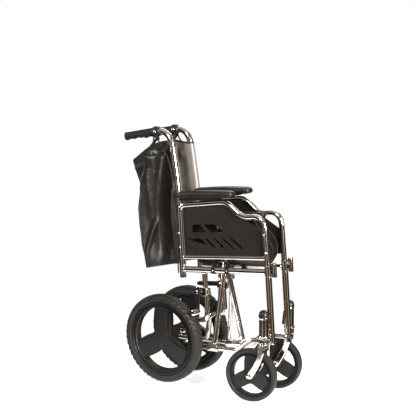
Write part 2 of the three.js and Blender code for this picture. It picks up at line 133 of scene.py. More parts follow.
def surface(name, color, roughness, spread=0.15, metallic=0.0, grain=(), specular=0.5, **fixed):
    """A principled material with mottled colour and roughness, and layered bumps.

    grain is a list of (scale, distance in mm, kind), coarse to fine.
    """
    material = bpy.data.materials.new(name)
    material.use_nodes = True
    tree = material.node_tree
    shader = tree.nodes["Principled BSDF"]
    where = tree.nodes.new("ShaderNodeTexCoord").outputs["Object"]
    dark = [c * (1 - spread) for c in color] + [1]
    light = [c * (1 + spread) for c in color] + [1]
    mottle = varied(tree, where, 38, 4, dark, light)
    tree.links.new(mottle, shader.inputs["Base Color"])
    sheen = varied(tree, where, 90, 3, grey(roughness * 0.8), grey(roughness * 1.2))
    tree.links.new(sheen, shader.inputs["Roughness"])
    shader.inputs["Metallic"].default_value = metallic
    shader.inputs["Specular IOR Level"].default_value = specular
    for key, value in fixed.items():
        shader.inputs[key.replace("_", " ")].default_value = value
    normal = None
    for scale, distance, kind in grain:
        if kind == "cells":
            texture = add_node(tree, "ShaderNodeTexVoronoi", Scale=scale)
            height = texture.outputs["Distance"]
        else:
            texture = add_node(tree, "ShaderNodeTexNoise", Scale=scale, Detail=3)
            height = texture.outputs["Fac"]
        tree.links.new(where, texture.inputs["Vector"])
        bump = add_node(tree, "ShaderNodeBump", Distance=distance * MM, Strength=1)
        tree.links.new(height, bump.inputs["Height"])
        if normal:
            tree.links.new(normal, bump.inputs["Normal"])
        normal = bump.outputs["Normal"]
    if normal:
        tree.links.new(normal, shader.inputs["Normal"])
    return material


MATERIALS = {
    "chrome_tube": surface("polished_chrome", (0.78, 0.745, 0.70), 0.10, 0.05, 1.0,
                           [(60, 0.05, "noise"), (900, 0.004, "noise")]),
    "bolt_steel": surface("bolt_steel", (0.62, 0.60, 0.57), 0.28, 0.1, 1.0,
                          [(700, 0.03, "noise")]),
    "black_plastic": surface("moulded_black", (0.016, 0.015, 0.014), 0.42, 0.2, 0.0,
                             [(1400, 0.05, "noise")]),
    "cable_sheath": surface("cable_sheath", (0.010, 0.010, 0.009), 0.5, 0.2, 0.0,
                            [(1800, 0.02, "noise")]),
    "panel_plastic": surface("grained_panel", (0.024, 0.0215, 0.018), 0.5, 0.12, 0.0,
                             [(1500, 0.06, "cells"), (30, 0.5, "noise")], 0.35),
    "pad_vinyl": surface("pad_vinyl", (0.022, 0.020, 0.018), 0.36, 0.18, 0.0,
                         [(55, 0.6, "noise"), (1300, 0.09, "cells")], 0.55),
    "grip_rubber": surface("grip_rubber", (0.022, 0.020, 0.019), 0.62, 0.2, 0.0,
                           [(1100, 0.1, "cells")], 0.4),
    "tyre_rubber": surface("tyre_rubber", (0.023, 0.0205, 0.018), 0.56, 0.2, 0.0,
                           [(120, 0.25, "noise"), (1600, 0.08, "noise")], 0.45),
    "wheel_plastic": surface("wheel_nylon", (0.019, 0.017, 0.015), 0.42, 0.15, 0.0,
                             [(40, 0.35, "noise"), (1700, 0.05, "cells")], 0.4),
    "sling_vinyl": surface("sling_vinyl", (0.036, 0.032, 0.027), 0.34, 0.14, 0.0,
                           [(13, 3.4, "noise"), (60, 0.5, "noise"), (1300, 0.1, "cells")], 0.6),
    # Painted sheen: a much lighter copy of the sling vinyl, laid on the front halves of the backs
    # where light would give the vinyl a sheen.
    "painted_sheen": surface("sling_painted_sheen", (0.24, 0.214, 0.195), 0.32, 0.12, 0.0,
                      [(14, 2.0, "noise"), (60, 0.5, "noise"), (1300, 0.1, "cells")], 0.6),
    "thread": surface("seam_thread", (0.03, 0.028, 0.025), 0.7, 0.2, 0.0,
                      [(2500, 0.05, "noise")]),
}


# ---- shapes: each is (points, faces) in millimetres -------------------------
def joined(*shapes):
    points, faces = [], []
    for more, round_faces in shapes:
        start = len(points)
        points.extend(more)
        faces.extend([tuple(start + i for i in face) for face in round_faces])
    return points, faces


def moved(shape, matrix):
    return [matrix @ Vector(p) for p in shape[0]], shape[1]


def rings_to_shape(rings, caps=(True, True)):
    """Quads between rings of equal length; an open end gets one many-sided face."""
    count = len(rings[0])
    points = [p for ring in rings for p in ring]
    faces = []
    for i in range(len(rings) - 1):
        for j in range(count):
            k = (j + 1) % count
            faces.append((i * count + j, i * count + k, (i + 1) * count + k, (i + 1) * count + j))
    if caps[0]:
        faces.append(tuple(reversed(range(count))))
    if caps[1]:
        faces.append(tuple(range((len(rings) - 1) * count, len(rings) * count)))
    return points, faces


def eased(corners, bend_steps=12):
    """Points along a polyline of (point, ease) whose inner corners are rounded."""
    points = [corners[0][0]]
    for i in range(1, len(corners) - 1):
        at, ease = corners[i]
        before = at + (corners[i - 1][0] - at).normalized() * ease
        after = at + (corners[i + 1][0] - at).normalized() * ease
        for k in range(bend_steps + 1):
            t = k / bend_steps
            points.append(before * (1 - t) ** 2 + at * (2 * t * (1 - t)) + after * t * t)
    points.append(corners[-1][0])
    return points


def side_path(y, corners):
    ease = [c[2] if len(c) > 2 else 0 for c in corners]
    return eased([(Vector((c[0], y, c[1])), e) for c, e in zip(corners, ease)])


def smooth_path(controls, steps):
    """A Catmull-Rom curve through the control points."""
    points = []
    last = len(controls) - 1
    for i in range(last):
        p0, p1 = controls[max(i - 1, 0)], controls[i]
        p2, p3 = controls[i + 1], controls[min(i + 2, last)]
        for k in range(steps):
            t = k / steps
            a = p1 * 2
            b = (p2 - p0) * t
            c = (p0 * 2 - p1 * 5 + p2 * 4 - p3) * t * t
            d = (p1 * 3 - p0 - p2 * 3 + p3) * t ** 3
            points.append((a + b + c + d) / 2)
    points.append(controls[-1])
    return points


def sweep(points, radius, sides=20, chamfer=0.8):
    """A tube along the points. radius is a number or a function of (share along, angle),
    where the angle starts at +Y. The ends are closed, with a small chamfer."""
    points = [Vector(p) for p in points]
    size = radius if callable(radius) else (lambda along, angle: radius)
    if chamfer:
        first = points[0] + (points[1] - points[0]).normalized() * chamfer
        last = points[-1] + (points[-2] - points[-1]).normalized() * chamfer
        points = [points[0], first] + points[1:-1] + [last, points[-1]]
    lengths = [0.0]
    for a, b in zip(points, points[1:]):
        lengths.append(lengths[-1] + (b - a).length)
    rings = []
    across = None
    for i, point in enumerate(points):
        tangent = (points[min(i + 1, len(points) - 1)] - points[max(i - 1, 0)]).normalized()
        guess = across or (Vector((0, 1, 0)) if abs(tangent.y) < 0.9 else Vector((1, 0, 0)))
        across = (guess - tangent * guess.dot(tangent)).normalized()
        up = tangent.cross(across)
        along = lengths[i] / lengths[-1]
        less = chamfer if i in (0, len(points) - 1) else 0
        ring = []
        for j in range(sides):
            angle = 2 * math.pi * j / sides
            r = size(along, angle) - less
            ring.append(point + across * (r * math.cos(angle)) + up * (r * math.sin(angle)))
        rings.append(ring)
    return rings_to_shape(rings)


def rod(a, b, radius, sides=20, chamfer=0.8):
    return sweep([Vector(a), Vector(b)], radius, sides, chamfer)


def basis(origin, axis):
    """A matrix whose Z is the axis, at the origin."""
    z = Vector(axis).normalized()
    x = (Vector((0, 0, 1)) if abs(z.z) < 0.9 else Vector((1, 0, 0))).cross(z).normalized()
    y = z.cross(x)
    matrix = Matrix((x, y, z)).transposed().to_4x4()
    return Matrix.Translation(Vector(origin)) @ matrix


def lathe(profile, origin, axis=(0, 1, 0), sides=48, relief=None):
    """A profile of (radius, height) turned about an axis. A profile that starts and ends
    on the axis closes there; one that returns to its start is a ring. relief(turn, i)
    is added to a point's radius, with turn from 0 to 1 round the axis."""
    ring_shaped = profile[0] == profile[-1]
    profile = profile[:-1] if ring_shaped else profile
    rings = []
    for i, (radius, height) in enumerate(profile):
        ring = []
        for j in range(sides):
            angle = 2 * math.pi * j / sides
            r = max(radius, 0.02) + (relief(j / sides, i) if relief else 0)
            ring.append(Vector((r * math.cos(angle), r * math.sin(angle), height)))
        rings.append(ring)
    if ring_shaped:
        points, faces = rings_to_shape(rings + [rings[0]], (False, False))
        wrap = sides * len(profile)
        faces = [tuple(i % wrap for i in face) for face in faces]
        shape = points[:wrap], faces
    else:
        shape = rings_to_shape(rings)
    return moved(shape, basis(origin, axis))


def rounded(profile, step=3):
    """The profile with its inner corners replaced by short curves."""
    points = [Vector((r, h, 0)) for r, h in profile]
    corners = [(points[0], 0)]
    for a, b, c in zip(points, points[1:], points[2:]):
        corners.append((b, 0.35 * min((b - a).length, (c - b).length)))
    corners.append((points[-1], 0))
    return [(p.x, p.y) for p in eased(corners, step)]


def plate(outline, holes, y0, y1, bevel=1.0):
    """A plate drawn in the XZ plane, with rounded edges, from y0 to y1."""
    curve = bpy.data.curves.new("plate", "CURVE")
    curve.dimensions = "2D"
    curve.fill_mode = "BOTH"
    curve.extrude = (y1 - y0) / 2 - bevel
    curve.bevel_depth = bevel
    curve.bevel_resolution = 2
    curve.offset = -bevel
    for loop in [outline] + list(holes):
        spline = curve.splines.new("POLY")
        spline.points.add(len(loop) - 1)
        for point, (x, z) in zip(spline.points, loop):
            point.co = (x, z, 0, 1)
        spline.use_cyclic_u = True
    holder = bpy.data.objects.new("plate", curve)
    bpy.context.scene.collection.objects.link(holder)
    mesh = bpy.data.meshes.new_from_object(
        holder.evaluated_get(bpy.context.evaluated_depsgraph_get()))
    upright = Matrix(((1, 0, 0, 0), (0, 0, -1, (y0 + y1) / 2), (0, 1, 0, 0), (0, 0, 0, 1)))
    points = [upright @ v.co for v in mesh.vertices]
    faces = [tuple(p.vertices) for p in mesh.polygons]
    bpy.data.objects.remove(holder)
    bpy.data.curves.remove(curve)
    bpy.data.meshes.remove(mesh)
    return points, faces


def round_corners(loop, ease, steps=6):
    """A closed outline whose corners are rounded."""
    points = [Vector((x, z, 0)) for x, z in loop]
    out = []
    count = len(points)
    for i, at in enumerate(points):
        for_before, for_after = points[i - 1] - at, points[(i + 1) % count] - at
        reach = min(ease, 0.45 * for_before.length, 0.45 * for_after.length)
        before, after = at + for_before.normalized() * reach, at + for_after.normalized() * reach
        for k in range(steps + 1):
            t = k / steps
            p = before * (1 - t) ** 2 + at * (2 * t * (1 - t)) + after * t * t
            out.append((p.x, p.y))
    return out


def stadium(a, b, radius, steps=10):
    points = []
    angle = math.atan2(b[1] - a[1], b[0] - a[0])
    for end, start in ((a, angle + math.pi / 2), (b, angle - math.pi / 2)):
        for i in range(steps + 1):
            turn = start + math.pi * i / steps
            points.append((end[0] + radius * math.cos(turn), end[1] + radius * math.sin(turn)))
    return points


def box_shape(x0, x1, y0, y1, z0, z1, bevel=1.5):
    low, high = min(y0, y1), max(y0, y1)
    return plate(((x0, z0), (x1, z0), (x1, z1), (x0, z1)), (), low, high, bevel)


# ---- pieces ----------------------------------------------------------------
def piece(name, shape, body, slot, replaced=(), material=None, sharp=38, to_row=TO_ROW):
    """A mesh piece that rides on a CAD body, from a shape in millimetres."""
    mesh = bpy.data.meshes.new(name)
    mesh.from_pydata([to_row @ Vector(p) for p in shape[0]], [], shape[1])
    mesh.validate()
    mesh.update()
    mesh.polygons.foreach_set("use_smooth", [True] * len(mesh.polygons))
    mesh.set_sharp_from_angle(angle=math.radians(sharp))
    mesh.materials.append(MATERIALS[material or slot])
    obj = bpy.data.objects.new(name, mesh)
    bpy.context.scene.collection.objects.link(obj)
    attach(obj, body)
    if replaced:
        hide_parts(*replaced)
    return obj


def finished(side, name, shape, body, slot, **more):
    """The piece that stands for the CAD node of the same name on one side."""
    return piece(f"{side}_{name}_finished", shape, body, slot, [f"{side}_{name}"], **more)


def screw(at, axis, radius=4.2, height=2.6):
    """A domed cross-head screw standing on a surface."""
    profile = [(0, height), (radius * 0.45, height * 0.92), (radius * 0.85, height * 0.55),
               (radius, 0), (radius, -1), (0, -1)]
    head = lathe(profile, at, axis, 20)
    place = basis(at, axis)
    slots = []
    for turn in (0, 90):
        cross = box_shape(-radius * 0.5, radius * 0.5, -0.35, 0.35, height - 0.3, height + 0.15, 0.1)
        slots.append(moved(cross, place @ Matrix.Rotation(math.radians(turn), 4, "Z")))
    return joined(head, *slots)


def hex_head(at, axis, across=7, height=5):
    profile = [(0, height), (across * 0.8, height), (across, height - 1), (across, 0), (0, 0)]
    return lathe(profile, at, axis, 6)


def weld(at, axis, radius):
    """The bead round the end of a tube."""
    bead = [(radius + 1.5 * math.cos(a), 1.5 * math.sin(a))
            for a in (math.radians(45 * k) for k in range(8))]
    return lathe(bead + [bead[0]], at, axis, 28, lambda turn, i: 0.25 * math.sin(turn * 88))


def direction(path, end):
    a, b = (path[0], path[1]) if end == 0 else (path[-1], path[-2])
    return (Vector(b) - Vector(a)).normalized()


# ---- side frame ------------------------------------------------------------
CANE_PATH = side_path(0, CANE)


def cane_x(z):
    """The cane's centre at a height, below its handle bend."""
    for a, b in zip(CANE_PATH, CANE_PATH[1:]):
        if a.z <= z <= b.z:
            return a.x + (b.x - a.x) * (z - a.z) / (b.z - a.z)
    return CANE_PATH[0].x


def leg_path(s):
    y, inner = s * FRAME_Y, s * (BASE_Y - 1)
    return eased([(Vector((162.6, y, 427)), 0), (Vector((175, y, 247)), 28),
                  (Vector((118, inner, 238)), 22), (Vector((106, inner, base_z(106))), 0)])


def make_side_tubes(side, s):
    y = s * FRAME_Y
    body = f"{side}_frame"
    upper, lower = side_path(y, UPPER_RAIL), side_path(y, LOWER_RAIL)
    post, base = side_path(y, POST), side_path(s * BASE_Y, BASE)
    boss = rod((0, s * 36, REAR_R), (0, s * 52, REAR_R), 19, 32)
    tubes = {
        "back_cane": sweep(side_path(y, CANE), CANE_R, 28),
        "arm_tube": sweep(side_path(y, ARM), ARM_R, 28),
        "upper_rail": joined(sweep(upper, UPPER_RAIL_R), weld(
            upper[0] + Vector((11.5, 0, 1)), direction(upper, 0), UPPER_RAIL_R - 0.5)),
        "lower_rail": joined(
            sweep(lower, LOWER_RAIL_R, 24),
            weld(lower[0] + Vector((11.5, 0, 1)), direction(lower, 0), LOWER_RAIL_R - 0.5)),
        "front_post": sweep(post, POST_R, 28),
        "base_rail": joined(sweep(base, BASE_RAIL_R, 24), boss),
        "rear_leg": joined(
            sweep(leg_path(s), LEG_R, 24),
            weld((163.4, y, 415), (0.07, 0, -1), LEG_R),
            weld((106, s * (BASE_Y - 1), base_z(106) + 10), (0, 0, 1), LEG_R)),
    }
    for name, shape in tubes.items():
        finished(side, name, shape, body, "chrome_tube")
    plugs = joined(
        rod((439.7, y, 209), (440.0, y, 205.6), POST_R - 0.6, 24, 1),
        rod((-19, s * BASE_Y, base_z(-19)), (-24, s * BASE_Y, base_z(-24)), BASE_RAIL_R, 24, 1.5),
        rod((70, y, 396), (70.3, y, 389), CANE_R + 0.2, 28, 1.5))
    piece(f"{side}_tube_plugs", plugs, body, "black_plastic")
    outer = Vector((0, s, 0))
    screws = joined(*[screw(Vector((x, s * (FRAME_Y + reach), z)), outer, 4.4)
                      for x, z, reach in PANEL_SCREWS])
    piece(f"{side}_panel_screws", screws, body, "chrome_tube", material="bolt_steel")
    for x in SADDLES:
        make_saddle(side, s, x)


SADDLES = (205, 262)
SADDLE_SLOPE = 0.083


def make_saddle(side, s, x):
    """A black cradle bolted round the lower rail, facing the seat rail."""
    z = RAIL_FOOT + (x - LOWER_RAIL[0][0]) * SADDLE_SLOPE
    y0, y1 = s * (FRAME_Y - 21), s * (FRAME_Y - 1)
    block = box_shape(x - 11, x + 11, y0, y1, z + 6, z + 24, 2.5)
    wrap = box_shape(x - 9, x + 9, s * (FRAME_Y - 13), s * (FRAME_Y + 11.6), z - 11, z + 12, 3)
    piece(f"{side}_seat_saddle_{x}", joined(block, wrap), f"{side}_frame", "black_plastic")
    bolt = screw(Vector((x, s * (FRAME_Y + 11.2), z)), (0, s, 0), 3.6)
    piece(f"{side}_saddle_bolt_{x}", bolt, f"{side}_frame", "chrome_tube", material="bolt_steel")


# ---- skirt panel and armrest -------------------------------------------------
PANEL = ((66, 463), (59, 600), (62, 642), (84, 650), (258, 674), (292, 641), (414, 574),
         (419, 495))
LOUVRES = (
    ((115, 584), (147, 587), (176, 560), (105, 554)),
    ((157, 588), (201, 592), (226, 586), (247, 569), (191, 560)),
    ((84, 533), (150, 537), (178, 516), (84, 526)),
    ((84, 509), (150, 497), (84, 493)),
    ((160, 540), (172, 541), (219, 510), (199, 508)),
    ((197, 545), (208, 546), (260, 511), (240, 509)),
    ((232, 548), (243, 549), (298, 514), (278, 511)),
    ((266, 552), (277, 553), (335, 517), (312, 514)),
)
PANEL_THICK = 3.4


def make_panel(side, s):
    middle = s * (FRAME_Y - 1.5)
    y0, y1 = middle - PANEL_THICK / 2, middle + PANEL_THICK / 2
    holes = [round_corners(loop, 4) for loop in LOUVRES]
    sheet = plate(round_corners(PANEL, 12), holes, y0, y1, 1.1)
    rims = []
    for loop in LOUVRES:
        path = [Vector((x, middle + s * PANEL_THICK / 2, z)) for x, z in round_corners(loop, 4, 3)]
        rims.append(sweep(path + [path[0]], 1.1, 6, 0))
    finished(side, "skirt_panel", joined(sheet, *rims), f"{side}_frame", "panel_plastic")


PAD_START = Vector((54, 0, 684))
PAD_END = Vector((286, 0, 703.6))
PAD_HALF_WIDTH = 24


def pad_section(t):
    """Half width, top and bottom of the pad at a share t of its length."""
    nose = math.sqrt(max(0.0, 1 - ((t - 0.91) / 0.09) ** 2)) if t > 0.91 else 1.0
    tail = math.sqrt(max(0.0, 1 - ((0.09 - t) / 0.09) ** 2)) if t < 0.09 else 1.0
    end = min(nose, tail)
    width = PAD_HALF_WIDTH * (0.30 + 0.70 * end)
    crown = (12.5 + 3.0 * math.sin(math.pi * min(1, t * 1.05))) * (0.35 + 0.65 * end)
    return width, crown, 11.5 * (0.45 + 0.55 * end)


def pad_ring(t, y, count=32):
    width, top, bottom = pad_section(t)
    centre = PAD_START.lerp(PAD_END, t) + Vector((0, y, 0))
    up = Vector((-0.0846, 0, 0.9964))
    ring = []
    for k in range(count):
        angle = 2 * math.pi * k / count
        c, n = math.cos(angle), math.sin(angle)
        square = 0.72 if n > 0 else 0.5
        across = width * math.copysign(abs(c) ** square, c)
        lift = (top if n > 0 else bottom) * math.copysign(abs(n) ** square, n)
        ring.append(centre + Vector((0, across, 0)) + up * lift)
    return ring


def make_arm_pad(side, s):
    y = s * FRAME_Y
    shares = [0.5 - 0.5 * math.cos(math.pi * k / 34) for k in range(35)]
    rings = [pad_ring(t, y) for t in shares]
    obj = finished(side, "arm_pad", rings_to_shape(rings), f"{side}_frame", "pad_vinyl", sharp=75)
    half = len(rings[0]) // 2
    loop = [ring[0] for ring in rings] + [ring[half] for ring in reversed(rings)]
    piping = sweep(smooth_path(loop + [loop[0]], 2), 1.5, 8, 0)
    piece(f"{side}_arm_pad_piping", piping, f"{side}_frame", "pad_vinyl")
    base = plate(round_corners(((82, 664), (240, 683.5), (250, 690), (78, 676)), 3), (),
                 y - 13, y + 13, 1.5)
    piece(f"{side}_arm_pad_base", base, f"{side}_frame", "pad_vinyl", material="black_plastic")


def make_footrest_socket(side, s):
    y = s * FRAME_Y
    sleeve = lathe(rounded([(0, 0), (8.5, 0), (8.5, 50), (6, 50), (6, 44), (0, 44)]),
                   (449, y, 432), (-3, 0, 50), 28)
    web = box_shape(426, 446, y - 4, y + 4, 442, 474, 1.2)
    collar = rod((425, y, 432), (422.2, y, 470), ARM_R + 2.2, 28, 1.2)
    finished(side, "footrest_socket", joined(sleeve, web, collar), f"{side}_frame",
             "chrome_tube")


# ---- push handle -------------------------------------------------------------
GRIP_START = Vector((-50, 0, 903))
GRIP_END = Vector((-176, 0, 881.3))
HUB = Vector((-38, 0, 904.8))
LEVER_PIVOT = Vector((-43, 0, 880))
LEVER_TIP = Vector((-66, 0, 849))
CABLE = ((-31, 61, 883), (-22, 62, 868), (-2, 65, 845), (16, 66, 815), (28, 66, 780),
         (38, 66, 720), (44, 66, 640), (50, 66, 560), (54, 66, 480), (58, 66, 405))
CABLE_R = 2.4
CLIP_HEIGHT = 745


def grip_radius(along, angle):
    """Four finger hollows below, fine ribs all round, and a flared end."""
    fingers = max(0.0, math.sin(angle))
    hollow = 2.6 * fingers * (0.5 - 0.5 * math.cos(2 * math.pi * 4 * min(1, along * 1.06)))
    flare = 1.3 * math.exp(-(along / 0.03) ** 2) + 1.2 * math.exp(-((1 - along) / 0.035) ** 2)
    ribs = 0.22 * math.sin(along * 150)
    return 14.2 - hollow + flare + ribs


def make_handle(side, s):
    y = Vector((0, s * FRAME_Y, 0))
    body = f"{side}_frame"
    axis = [GRIP_START.lerp(GRIP_END, k / 90) + y for k in range(91)]
    finished(side, "hand_grip", sweep(axis, grip_radius, 32, 2.2), body, "grip_rubber")
    disc = rounded([(0, 15.5), (13, 15.5), (18, 9), (18, -9), (13, -15.5), (0, -15.5)])
    hub = lathe(disc, HUB + y, (0, 1, 0), 40)
    boss = rounded([(0, 10), (8, 10), (10, 7), (10, -7), (8, -10), (0, -10)])
    knuckle = lathe(boss, LEVER_PIVOT + y - Vector((0, s * 2, 0)), (0, 1, 0), 28)
    neck = box_shape(-50, -35, s * (FRAME_Y - 8), s * (FRAME_Y - 1.5), 882, 897, 1.5)
    adjuster = rod(Vector((-36, s * 60, 893)), Vector((-29.5, s * 61, 880.5)), 3.6, 12, 0.8)
    finished(side, "brake_clamp", joined(hub, knuckle, neck, adjuster), body, "black_plastic")
    heads = []
    for out in (-1, 1):
        face = Vector((0, out, 0))
        heads.append(screw(HUB + y + face * 15.3, face, 6.2, 2.8))
        heads.append(screw(LEVER_PIVOT + y - Vector((0, s * 2, 0)) + face * 9.8, face, 3.8, 2))
    piece(f"{side}_handle_screws", joined(*heads), body, "chrome_tube", material="bolt_steel")
    controls = [Vector((x, s * out, z)) for x, out, z in CABLE]
    cable = sweep(smooth_path(controls, 8), CABLE_R, 12, 0.3)
    finished(side, "brake_cable", cable, body, "cable_sheath")
    clip_x = cane_x(CLIP_HEIGHT)
    clip = rod((clip_x, s * FRAME_Y, CLIP_HEIGHT - 3), (clip_x, s * FRAME_Y, CLIP_HEIGHT + 3),
               CANE_R + 1.1, 28, 0.6)
    piece(f"{side}_cable_clip", clip, body, "black_plastic")
    make_hand_lever(side, s)


def make_hand_lever(side, s):
    start, tip = LEVER_PIVOT, LEVER_TIP
    bow = (start + tip) / 2 + Vector((7, 0, -4))
    path = [start * (1 - t) ** 2 + bow * 2 * t * (1 - t) + tip * t * t
            for t in (k / 16 for k in range(17))]
    outline = []
    for sign in (1, -1):
        edge = []
        for k, point in enumerate(path):
            before, after = path[max(k - 1, 0)], path[min(k + 1, 16)]
            run = (after - before).normalized()
            wide = 6.6 - 2.6 * k / 16
            edge.append((point.x - run.z * wide * sign, point.z + run.x * wide * sign))
        outline += edge if sign > 0 else list(reversed(edge))
    y0 = s * FRAME_Y
    y1 = s * (FRAME_Y + 6.5)
    blade = plate(round_corners(outline, 3, 3), (), min(y0, y1), max(y0, y1), 1.8)
    finished(side, "hand_lever", blade, f"{side}_hand_lever", "black_plastic")


# ---- parking brake -------------------------------------------------------------
PARK_PIVOT = (146, 349)
SHOE = (142, 276)
SHOE_RIBS = 9


def park_grip_radius(along, angle):
    """Swelling from the arm, then a rounded end."""
    if along < 0.83:
        return 7.6 + 1.0 * math.sin(math.pi * min(1, along * 1.2)) ** 0.5
    return 8.6 * math.sqrt(max(0.12, 1 - ((along - 0.83) / 0.18) ** 2))


def make_parking_brake(side, s):
    body = f"{side}_frame"
    x, z = PARK_PIVOT
    clamp = box_shape(156, 183, s * 43, s * 67, 339, 361, 3)
    ear = box_shape(133, 176, s * 65, s * 69, 335, 364, 1.2)
    pin = rod((x, s * 64, z), (x, s * 81, z), 4, 16)
    nuts = joined(hex_head((x, s * 80, z), (0, s, 0), 7, 4.5),
                  *[hex_head((176, s * 67, height), (0, s, 0), 4.5, 4) for height in (355, 344)])
    finished(side, "park_bracket", joined(clamp, ear, pin, nuts), body, "chrome_tube")
    moving = f"{side}_park_lever"
    arm = plate(stadium(PARK_PIVOT, SHOE, 9), (), *sorted((s * 70, s * 76)), 1.2)
    link = plate(stadium(PARK_PIVOT, (124, 346), 6), (), *sorted((s * 70.5, s * 76)), 1.2)
    ribs = [(0, 0)]
    for k in range(SHOE_RIBS):
        at = 1 + k * 3.6
        ribs += [(8.4, at), (10, at + 0.8), (10, at + 2.0), (8.4, at + 2.8)]
    ribs.append((0, 33.4))
    shoe = lathe(ribs, (SHOE[0], s * 66, SHOE[1]), (0, s, 0), 24)
    piece(f"{side}_park_linkage", joined(arm, link), moving, "black_plastic",
          [f"{side}_park_lever"], sharp=30)
    piece(f"{side}_park_shoe", shoe, moving, "chrome_tube", sharp=30)
    start, end = Vector((138, s * 79, 347.8)), Vector((37, s * 79, 337))
    handle = sweep([start.lerp(end, k / 40) for k in range(41)], park_grip_radius, 24, 1.0)
    piece(f"{side}_park_grip", handle, moving, "black_plastic", material="grip_rubber")


# ---- wheels ----------------------------------------------------------------------
TREAD_LUGS = 46
TREAD_DEPTH = 3.4
SPOKES = (90, 210, 330)
# Each window between spokes: its nose and outer radius, and half its angle at the rim.
REAR_WINDOW = (42, 114, 43)
CASTER_WINDOW = (31, 67, 40)


def tyre_profile(radius, inner, width, crown):
    """The tyre's section, closed: a round sidewall and a broad, slightly crowned tread."""
    half = width / 2
    wall = radius - inner
    outer_side = [(inner, 0.55 * half), (inner + 0.08 * wall, 0.72 * half),
                  (inner + 0.24 * wall, 0.90 * half), (inner + 0.46 * wall, half),
                  (inner + 0.66 * wall, 0.99 * half), (inner + 0.82 * wall, 0.92 * half),
                  (radius - 0.42 * crown, 0.78 * half), (radius - 0.12 * crown, 0.5 * half),
                  (radius, 0.2 * half)]
    return [(r, -h) for r, h in outer_side] + [(radius, 0)] + \
           [(r, h) for r, h in reversed(outer_side)]


def treaded(lugs, tread_from, profile, half, depth):
    """Slanting grooves beyond the radius tread_from, meeting as chevrons at the middle."""
    def relief(turn, i):
        radius, height = profile[i]
        if radius < tread_from:
            return 0
        across = abs(height) / half
        phase = (turn * lugs + 1.6 * across) % 1
        groove = 1 if phase < 0.42 else 0
        return -depth * groove * (0.35 + 0.65 * min(1, across * 1.5))
    return relief


def arch(middle, inner, outer, half_angle, towards, curve=2.2):
    """Half the arch of an opening between spokes, from the rim to its nose by the hub."""
    points = []
    for k in range(15):
        share = 1 - k / 14
        turn = math.radians(middle + towards * half_angle * share)
        reach = inner + (outer - inner) * share ** curve
        points.append((reach * math.cos(turn), reach * math.sin(turn)))
    return points


def spoke(middle, inner, outer, half_angle, y0, y1, bevel):
    """One spoke: the hub's third and the web between two openings, out to the rim."""
    down = arch(middle + 60, inner, outer, half_angle, -1)
    up = list(reversed(arch(middle - 60, inner, outer, half_angle, 1)))
    rim = []
    spread = 60 - half_angle
    for k in range(1, 8):
        turn = math.radians(middle - spread + 2 * spread * k / 8)
        rim.append((outer * 1.03 * math.cos(turn), outer * 1.03 * math.sin(turn)))
    return plate(list(reversed(down + [(0, 0)] + up + rim)), (), y0, y1, bevel)


def spoke_face(middle, inner, outer, y0, y1):
    """The raised face of one spoke, waisted, from the hub to the rim."""
    place = Matrix.Rotation(math.radians(-middle), 4, "Y")
    length = outer - inner
    half_widths = [(inner, 0.20), (inner + 0.25 * length, 0.185), (inner + 0.55 * length, 0.19),
                   (inner + 0.8 * length, 0.23), (outer, 0.29)]
    upper = [(r, w * outer) for r, w in half_widths]
    outline = [(0, 0)] + [(r, -w) for r, w in upper] + [(r, w) for r, w in reversed(upper)]
    return moved(plate(outline[1:], (), y0, y1, 1.6), place)


def spoked_wheel(rim_r, window, half, hub_r, hub_half, raised=True):
    """Rim, spokes and hub about the Y axis, with raised faces on the spokes if wanted."""
    inner, outer, half_angle = window
    webs = [spoke(middle, inner, outer, half_angle, -half * 0.72, half * 0.72, 1.2)
            for middle in SPOKES]
    step = rim_r - outer
    flange = [(outer + 0.5, -half * 0.8), (outer + step * 0.2, -half * 1.15),
              (outer + step * 0.34, -half * 1.15), (outer + step * 0.46, -half * 0.9),
              (outer + step * 0.66, -half * 0.95), (outer + step * 0.78, -half * 1.4),
              (rim_r, -half * 1.34)]
    ring = flange + [(r, -h) for r, h in reversed(flange)] + [flange[0]]
    rim = lathe(ring, (0, 0, 0), (0, 1, 0), 96)
    cover = rounded([(0, hub_half), (hub_r * 0.75, hub_half - 0.5), (hub_r * 1.1, hub_half * 0.86),
                     (hub_r * 1.5, half * 0.6)])
    hub = lathe(cover + [(r, -h) for r, h in reversed(cover)], (0, 0, 0), (0, 1, 0), 48)
    faces = []
    for middle in SPOKES if raised else ():
        for side in (-1, 1):
            y0, y1 = sorted((side * half * 0.3, side * half * 1.06))
            faces.append(spoke_face(middle, hub_r * 0.55, outer + 1, y0, y1))
    return joined(*webs, rim, hub, *faces)


def make_rear_wheel(side, s):
    place = Matrix.Translation((0, s * REAR_Y, REAR_R))
    body = f"{side}_rear_wheel"
    profile = tyre_profile(REAR_R, REAR_RIM_R, REAR_WIDTH, 7)
    relief = treaded(TREAD_LUGS, REAR_R - 9, profile, REAR_WIDTH / 2, TREAD_DEPTH)
    tyre = lathe(profile + [profile[0]], (0, 0, 0), (0, 1, 0), TREAD_LUGS * 6, relief)
    finished(side, "rear_tyre", moved(tyre, place), body, "tyre_rubber", sharp=32)
    wheel = spoked_wheel(REAR_RIM_R, REAR_WINDOW, 14, 27, 15.5)
    finished(side, "rear_rim", moved(wheel, place), body, "wheel_plastic", sharp=32)
    shank = rod((0, s * 30, REAR_R), (0, s * 97, REAR_R), 6)
    nut = hex_head((0, s * 36, REAR_R), (0, -s, 0), 10, 7)
    washer = rod((0, s * 52.2, REAR_R), (0, s * 64, REAR_R), 11, 28)
    finished(side, "rear_axle", joined(shank, nut, washer), f"{side}_frame", "chrome_tube")
    cap = lathe(rounded([(0, 1.6), (7, 1.4), (8.5, 0.6), (9, -2), (0, -2)]),
                (0, s * 97.4, REAR_R), (0, s, 0), 32)
    piece(f"{side}_rear_hub_cap", cap, f"{side}_frame", "black_plastic", material="wheel_plastic")


